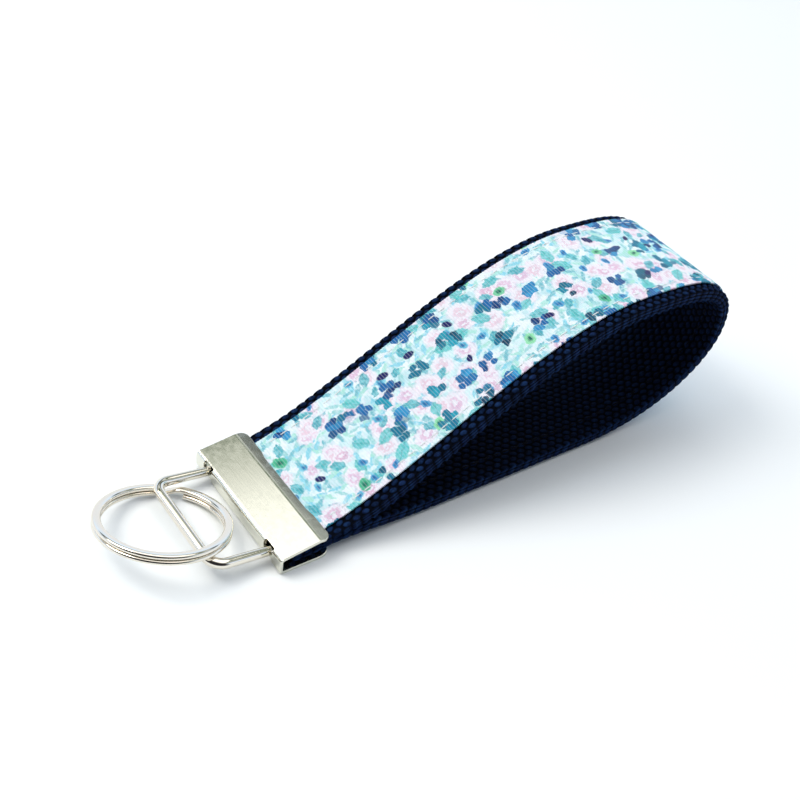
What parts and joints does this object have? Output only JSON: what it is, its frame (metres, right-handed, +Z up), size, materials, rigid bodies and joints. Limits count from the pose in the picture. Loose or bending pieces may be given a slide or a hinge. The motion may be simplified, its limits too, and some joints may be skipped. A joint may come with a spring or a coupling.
{
  "type": "wristlet keychain",
  "caption": "Wristlet key fob: folded webbing hand loop with a printed ribbon sewn on, crimped metal end clamp, hinged wire loop and split ring.",
  "frame": {"origin": "centre of the bounding box at its base, on the surface that the keychain lies on", "axes": "+X from the split ring and clamp towards the nose of the strap loop, +Y across the strap, +Z up"},
  "size_m": [0.1398, 0.0316, 0.0368],
  "materials": {
    "webbing": "matte navy nubby webbing",
    "ribbon": "ribbed white ribbon with a pale watercolour floral print",
    "needle_thread": "matte white",
    "bobbin_thread": "matte navy",
    "clamp_metal": "satin nickel plate",
    "wire_metal": "polished nickel plate",
    "ring_metal": "polished nickel plate"
  },
  "bodies": {
    "strap": {"webbing_loop": "webbing", "printed_ribbon": "ribbon", "seam_front_needle_thread": "needle_thread", "seam_back_needle_thread": "needle_thread", "seam_front_bobbin_thread": "bobbin_thread", "seam_back_bobbin_thread": "bobbin_thread", "ribbon_clamp": "clamp_metal"},
    "loop": {"wire_loop": "wire_metal"},
    "ring": {"split_ring": "ring_metal"}
  },
  "joints": [
    {"name": "loop_hinge", "type": "hinge", "parent": "strap", "child": "loop", "pos_m": [-0.04078, 0, 0.00213], "axis": [0, 1, 0], "range_deg": [-30, 8]},
    {"name": "ring_swing", "type": "hinge", "parent": "loop", "child": "ring", "pos_m": [-0.05406, 0, 0.00397], "axis": [-0.1392, 0.9903, 0], "range_deg": [0, 140]}
  ]
}
